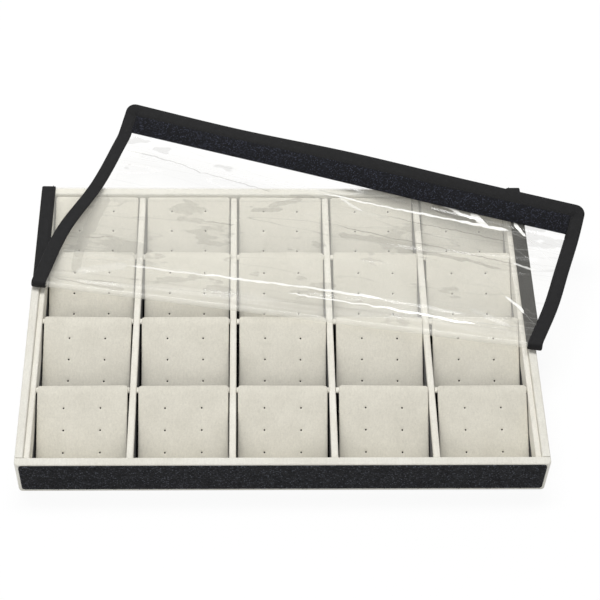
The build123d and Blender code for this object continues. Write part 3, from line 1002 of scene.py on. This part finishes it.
def make_film():
    xs = np.array(steps_between(sheet_left + film_inset, sheet_right - film_inset, 3 * MM))
    # Skirt and rear strip
    skirt_end = rear_edge_y + skirt_drop
    bend_start, bend_end = rear_edge_y + 2 * MM, rear_edge_y - 3 * MM
    rear_ys = steps_through(
        skirt_end, (bend_start, 3 * MM), (bend_end, 0.5 * MM), (film_joint_rear_y, 3 * MM)
    )
    rear = film_piece("rear", xs, [np.full_like(xs, y) for y in rear_ys], "rear_skirt_film")
    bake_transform(rear)
    # The half on the tray, the round fold and the half folded back
    step_before = film_step / abs(film_joint_rear_y - curl_start_y(0))
    step_after = film_step / abs(curl_end_y(0) - flap_joint_y)
    # The flat cover's rows close up where the fold is round; the sheet itself has its whole length there
    for part, shares in cover_parts(step_before, step_after).items():
        rows = [across_rows(xs, share) for share in shares]
        film = film_piece(part, xs, rows, cad_of_part[part] + "_film")
        carry_part(film, part)
    # Flap
    flap_ys = steps_through(
        flap_joint_y,
        (crease_y + crease_reach, 2 * MM),
        (crease_y - crease_reach, 0.6 * MM),
        (flap_end_y + film_inset, 2.5 * MM),
    )
    flap = film_piece("flap", xs, [np.full_like(xs, y) for y in flap_ys], "cover_flap_film")
    blend_over_crease(flap)


# Binding: a woven tape folded round the sheet's edge
# Its section, from the outer edge inwards: shares of its width, and of half its thickness
section_shares = (
    (0.0, 0.0), (0.012, 0.45), (0.05, 0.85), (0.1, 1.0), (0.35, 1.0), (0.6, 0.97), (0.76, 0.93),
    (0.82, 0.80), (0.88, 0.90), (0.95, 0.86), (0.985, 0.62), (1.0, 0.3),
)


def across_tape(outer, inner, share):
    """The point at a share of the way from a tape's outer edge to its inner one."""
    outer, inner = np.array(outer, float), np.array(inner, float)
    return outer + (inner - outer) * share


def tape_ring(outer, inner):
    """The tape's section between two points of the flat sheet, over and under it."""
    upper = list(section_shares)
    lower = [(share, -high) for share, high in reversed(section_shares[1:])]
    return [(*across_tape(outer, inner, share), high * tape_thickness / 2) for share, high in upper + lower]


def tube_faces(rings, count):
    """Faces round a closed tube of rings with count points each, and over its two ends."""
    faces = []
    for r in range(rings - 1):
        for k in range(count):
            a, b = r * count + k, r * count + (k + 1) % count
            faces.append((a, b, b + count, a + count))
    return faces + [tuple(range(count)), tuple(range((rings - 1) * count, rings * count))]


def tape_mesh(name, stations):
    """The tape along its stations, each an outer and an inner point of the flat sheet."""
    rings = [tape_ring(outer, inner) for outer, inner in stations]
    count = len(rings[0])
    mesh = mesh_of(name, lay_on_cover(np.concatenate(rings)), tube_faces(len(rings), count))
    travelled = [0.0]
    for (before, _), (after, _) in zip(stations, stations[1:]):
        travelled.append(travelled[-1] + math.dist(before, after))
    widths = [share for share, _ in section_shares]
    widths += list(reversed(widths[1:]))
    layer = mesh.uv_layers.new(name="along_tape")
    for loop in mesh.loops:
        ring, k = divmod(loop.vertex_index, count)
        layer.data[loop.index].uv = (travelled[ring], widths[k] * tape_width)
    face_outwards(mesh)
    return mesh


tape_step = 3 * MM
tape_rear_gap = 0.6 * MM


def side_stations(side):
    """Stations of a side's tape from the rear edge through the curl to the flap joint, part by part."""
    edge = sheet_left if side < 0 else sheet_right
    ends = (edge, edge - side * tape_width)
    rear = rear_edge_y - tape_rear_gap
    step_before = tape_step / abs(rear - curl_start_y(edge))
    step_after = tape_step / abs(curl_end_y(edge) - flap_joint_y)
    return {
        part: [[(x, across_rows(x, share, rear)) for x in ends] for share in shares]
        for part, shares in cover_parts(step_before, step_after).items()
    }


def flap_corner(edge, side):
    """The flap's rounded outline at one end, from its side to its free edge."""
    outline = []
    for k in range(9):
        turn = math.radians(90 * k / 8)
        x = edge - side * flap_corner_radius * (1 - math.cos(turn))
        outline.append((x, flap_end_y + flap_corner_radius * (1 - math.sin(turn))))
    return outline


def flap_stations():
    """Stations round the flap: down its left side, along its end and up its right side."""
    left_in, right_in = sheet_left + tape_width, sheet_right - tape_width
    end_in = flap_end_y + tape_width
    down = steps_through(
        flap_joint_y,
        (crease_y + crease_reach, tape_step),
        (crease_y - crease_reach, 0.7 * MM),
        (end_in, tape_step),
    )
    stations = [((sheet_left, y), (left_in, y)) for y in down]
    stations += [(outer, (left_in, end_in)) for outer in flap_corner(sheet_left, -1)]
    stations += [((x, flap_end_y), (x, end_in)) for x in steps_between(left_in, right_in, 4 * MM)]
    stations += [(outer, (right_in, end_in)) for outer in reversed(flap_corner(sheet_right, 1))]
    return stations + [((sheet_right, y), (right_in, y)) for y in reversed(down)]


GEOMETRY = "NodeSocketGeometry"


def new_growth(name, **sizes):
    """A geometry tree that grows things on its source, with named sizes."""
    named = {"Geometry": GEOMETRY, **{key.replace("_", " "): value for key, value in sizes.items()}}
    return new_group(name, named, {"Geometry": GEOMETRY}, kind="GeometryNodeTree")


def set_on_places(tree, out, places, shape, turn, size, material):
    """Ends a geometry tree: its shape on every place, as a real mesh with its material."""
    inputs = {"Points": places, "Instance": shape, "Rotation": turn, "Scale": size}
    placed = add(tree, "GeometryNodeInstanceOnPoints", inputs)
    real = add(tree, "GeometryNodeRealizeInstances", {"Geometry": placed.outputs[0]})
    dressed = add(tree, "GeometryNodeSetMaterial", {"Geometry": real.outputs[0], "Material": material})
    return finished(tree, out, Geometry=dressed.outputs[0])


stitch_share = 0.82
stitch_height = 0.80 * tape_thickness / 2 + 0.05 * MM
stitch_pitch = 3.0 * MM
stitch_size = (0.5 * MM, 0.34 * MM, 2.2 * MM)


def stitch_tree():
    """Stitches along a line: small capsules set end to end along it."""
    tree, given, out = new_growth("stitch_line", Pitch=stitch_pitch, Size=stitch_size)
    curve = add(tree, "GeometryNodeMeshToCurve", {"Mesh": given["Geometry"]})
    inputs = {"Curve": curve.outputs[0], "Length": given["Pitch"]}
    spaced = add(tree, "GeometryNodeResampleCurve", inputs, mode="LENGTH")
    ball = add(tree, "GeometryNodeMeshUVSphere", {"Segments": 6, "Rings": 4, "Radius": 0.5})
    tangent = tree.nodes.new("GeometryNodeInputTangent")
    facing = add(tree, "FunctionNodeAlignRotationToVector", {"Vector": tangent.outputs[0]}, axis="Z")
    return set_on_places(
        tree, out, spaced.outputs[0], ball.outputs["Mesh"], facing.outputs[0], given["Size"], thread
    )


def grown_piece(name, source, tree):
    """A piece with the plain mesh that a geometry tree grows from a source mesh."""
    holder = add_object(name + "_source", source)
    holder.modifiers.new("grow", "NODES").node_group = tree
    bpy.context.view_layer.update()
    evaluated = holder.evaluated_get(bpy.context.evaluated_depsgraph_get())
    mesh = bpy.data.meshes.new_from_object(evaluated)
    mesh.name = name
    bpy.data.objects.remove(holder)
    piece = add_object(name, mesh)
    return piece


def line_mesh(name, lines):
    points, edges = [], []
    for line in lines:
        start = len(points)
        points += [tuple(p) for p in line]
        edges += [(start + k, start + k + 1) for k in range(len(line) - 1)]
    mesh = bpy.data.meshes.new(name)
    mesh.from_pydata(points, edges, [])
    return mesh


def stitches(name, stations, tree):
    """A row of stitches on both faces of a tape."""
    places = [across_tape(outer, inner, stitch_share) for outer, inner in stations]
    lines = [lay_on_cover([(*place, face * stitch_height) for place in places]) for face in (-1, 1)]
    piece = grown_piece(name, line_mesh(name + "_line", lines), tree)
    piece.data.shade_smooth()
    return piece


def binding_piece(name, stations, node):
    tape = new_piece(name, tape_mesh(name, stations), (woven_tape,))
    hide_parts(node)
    return tape


def make_binding():
    tree = stitch_tree()
    for side, word in ((-1, "left"), (1, "right")):
        for part, stations in side_stations(side).items():
            name = f"binding_{word}_{part}"
            carry_part(binding_piece(name, stations, f"{cad_of_part[part]}_binding_{word}"), part)
            carry_part(stitches(f"{name}_stitches", stations, tree), part)
    stations = flap_stations()
    blend_over_crease(binding_piece("binding_flap", stations, "cover_flap_binding"))
    blend_over_crease(stitches("binding_flap_stitches", stations, tree))


make_film()
make_binding()


# Pile of the fastening tapes: loops on the tray's front, hooks on the flap
fibre_radius = 0.07 * MM
smallest_ring = 0.6
largest_ring = 1.3


def pile_tree(name, ring_radius, sweep, density, seed):
    """Small rings of fibre standing on a surface."""
    tree, given, out = new_growth(
        name, Density=density, Ring_Radius=ring_radius, Fibre_Radius=fibre_radius
    )
    inputs = {"Mesh": given["Geometry"], "Density": given["Density"], "Seed": seed}
    points = add(tree, "GeometryNodeDistributePointsOnFaces", inputs)
    inputs = {"Resolution": 5, "Radius": given["Ring Radius"], "Start Angle": 0.0, "Sweep Angle": sweep}
    arc = add(tree, "GeometryNodeCurveArc", inputs)
    inputs = {"Resolution": 3, "Radius": given["Fibre Radius"]}
    profile = add(tree, "GeometryNodeCurvePrimitiveCircle", inputs)
    inputs = {"Curve": arc.outputs[0], "Profile Curve": profile.outputs[0]}
    ring = add(tree, "GeometryNodeCurveToMesh", inputs)
    inputs = {"Geometry": ring.outputs[0], "Rotation": (math.pi / 2, 0.0, 0.0)}
    upright = add(tree, "GeometryNodeTransform", inputs)
    inputs = {0: (-0.5, -0.5, 0.0), 1: (0.5, 0.5, 2 * math.pi), "Seed": seed}
    spin = add(tree, "FunctionNodeRandomValue", inputs, data_type="FLOAT_VECTOR")
    inputs = {"Rotation": points.outputs["Rotation"], "Rotate By": spin.outputs[0]}
    turned = add(tree, "FunctionNodeRotateRotation", inputs, rotation_space="LOCAL")
    inputs = {2: smallest_ring, 3: largest_ring, "Seed": seed + 1}
    size = add(tree, "FunctionNodeRandomValue", inputs, data_type="FLOAT")
    shape, turn, scale = upright.outputs[0], turned.outputs[0], size.outputs[1]
    return set_on_places(tree, out, points.outputs["Points"], shape, turn, scale, pile_fibre)


def patch_mesh(name, points, columns):
    faces = [(k, k + 1, k + columns + 1, k + columns) for k in grid_starts(len(points) // columns, columns)]
    return mesh_of(name, points, faces)


hook_tuck = 0.3 * MM
hook_bevel = 0.25 * MM
pile_inset = 0.4 * MM


def hook_tape_mesh():
    """The hook tape's body on the flap's inner face, between the bindings."""
    xs = steps_between(sheet_left + tape_width - hook_tuck, sheet_right - tape_width + hook_tuck, 4 * MM)
    near = flap_end_y + tape_width - hook_tuck
    far = flap_end_y + tape_width + hook_width
    section = (
        (near, 0.0), (near, -hook_face), (far - hook_bevel, -hook_face),
        (far, hook_bevel - hook_face), (far, 0.0),
    )
    flat = [(x, y, above) for x in xs for y, above in section]
    mesh = mesh_of("hook_tape", lay_on_cover(flat), tube_faces(len(xs), len(section)))
    face_outwards(mesh)
    return mesh


def make_pile():
    low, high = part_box("front_loop_strip")
    face = [
        (x, low.y, z) for z in (low.z + pile_inset, high.z - pile_inset)
        for x in (low.x + pile_inset, high.x - pile_inset)
    ]
    tree = pile_tree("loop_pile", ring_radius=0.45 * MM, sweep=math.pi, density=0.55e6, seed=4)
    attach(grown_piece("loop_fibres", patch_mesh("loop_ground", face, 2), tree), "tray")
    tape = new_piece("hook_tape", hook_tape_mesh(), (hook_pile,))
    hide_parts("flap_hook_strip")
    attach(tape, "cover_flap")
    left, right = sheet_left + tape_width + pile_inset, sheet_right - tape_width - pile_inset
    near = flap_end_y + tape_width + pile_inset
    far = flap_end_y + tape_width + hook_width - pile_inset
    xs = steps_between(left, right, 20 * MM)
    flat = [(x, y, -hook_face) for y in (near, far) for x in xs]
    ground = patch_mesh("hook_ground", lay_on_cover(flat), len(xs))
    tree = pile_tree("hook_pile", ring_radius=0.35 * MM, sweep=1.15 * math.pi, density=0.8e6, seed=8)
    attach(grown_piece("hook_fibres", ground, tree), "cover_flap")


make_pile()


# Studio
floor_size = 6.0
floor_white = paint(250, 250, 250)
floor_white_share = 0.92
world_light = 0.42


def white_when_seen(tree, shaded, white_share):
    """Mixes plain white into what the camera, gloss and glass see of a backdrop."""
    path = tree.nodes.new("ShaderNodeLightPath").outputs
    seen = strongest(tree, path["Is Camera Ray"], path["Is Glossy Ray"])
    seen = strongest(tree, seen, path["Is Transmission Ray"])
    glow = add(tree, "ShaderNodeEmission", {"Color": white, "Strength": 1.0})
    inputs = {0: times(tree, seen, white_share), 1: shaded, 2: glow.outputs[0]}
    return add(tree, "ShaderNodeMixShader", inputs).outputs[0]


def make_floor():
    half = floor_size / 2
    mesh = patch_mesh("floor", [(x, y, 0) for y in (-half, half) for x in (-half, half)], 2)
    material, tree, shader, _ = new_material("pale_floor", Roughness=0.9, Base_Color=floor_white)
    surface = white_when_seen(tree, shader.outputs[0], floor_white_share)
    tree.links.new(surface, tree.nodes["Material Output"].inputs["Surface"])
    mesh.materials.append(material)
    add_object("floor", mesh)


def make_world():
    world = bpy.data.worlds.new("studio")
    bpy.context.scene.world = world
    world.use_nodes = True
    tree = world.node_tree
    tree.nodes.clear()
    soft = add(tree, "ShaderNodeBackground", {"Color": white, "Strength": world_light})
    seen = add(tree, "ShaderNodeBackground", {"Color": white, "Strength": 1.0})
    path = tree.nodes.new("ShaderNodeLightPath")
    inputs = {0: path.outputs["Is Camera Ray"], 1: soft.outputs[0], 2: seen.outputs[0]}
    mix = add(tree, "ShaderNodeMixShader", inputs)
    add(tree, "ShaderNodeOutputWorld", {0: mix.outputs[0]})


def make_lamp(name, place, width, height, power):
    """A soft rectangular lamp, turned to the middle of the floor."""
    data = bpy.data.lights.new(name, "AREA")
    data.shape = "RECTANGLE"
    data.size, data.size_y = width, height
    data.energy = power
    lamp = add_object(name, data)
    lamp.location = place
    lamp.rotation_mode = "QUATERNION"
    lamp.rotation_quaternion = (-Vector(place)).to_track_quat("-Z", "Y")


def make_camera():
    back = Vector((
        math.sin(camera_azimuth) * math.cos(camera_elevation),
        -math.cos(camera_azimuth) * math.cos(camera_elevation),
        math.sin(camera_elevation),
    ))
    level_right = (-back).cross(Vector((0, 0, 1))).normalized()
    level_up = level_right.cross(-back)
    right = level_right * math.cos(camera_roll) + level_up * math.sin(camera_roll)
    up = level_up * math.cos(camera_roll) - level_right * math.sin(camera_roll)
    data = bpy.data.cameras.new("photo_camera")
    data.sensor_width = camera_sensor
    data.lens = camera_lens
    camera = add_object("photo_camera", data)
    turned = Matrix((right, up, back)).transposed().to_4x4()
    camera.matrix_world = Matrix.Translation(camera_aim + back * camera_distance) @ turned
    bpy.context.scene.camera = camera


make_camera()
make_floor()
make_world()
make_lamp("key_lamp", (-0.1, 0.5, 1.55), width=1.3, height=0.4, power=19)
make_lamp("front_lamp", (-0.5, -1.2, 1.1), width=1.2, height=1.0, power=6)
bpy.context.scene.view_settings.view_transform = "Standard"
